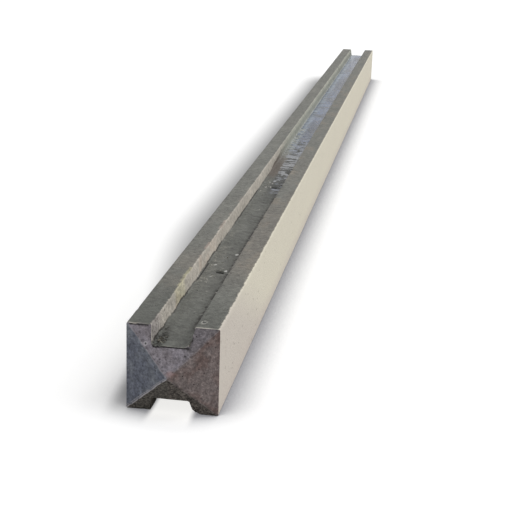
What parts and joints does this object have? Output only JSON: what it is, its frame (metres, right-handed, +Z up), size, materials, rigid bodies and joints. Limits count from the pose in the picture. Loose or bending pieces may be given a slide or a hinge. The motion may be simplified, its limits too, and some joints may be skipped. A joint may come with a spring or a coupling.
{
  "type": "slotted concrete fence post",
  "caption": "Cast concrete fence post with an H-shaped section, a panel slot down two opposite faces and a four-sided pointed top, lying flat.",
  "frame": {"origin": "on the floor, under the middle of the post as it lies", "axes": "+Z up, the post lies along Y with its pointed top towards -Y and its square foot towards +Y; the slots open up and down"},
  "size_m": [0.109, 3.05, 0.106],
  "materials": {
    "cast_concrete": "fine cast face, cream on the moulded sides and grey and damp on the open face"
  },
  "bodies": {
    "root": {"concrete_post": "cast_concrete"}
  },
  "joints": []
}
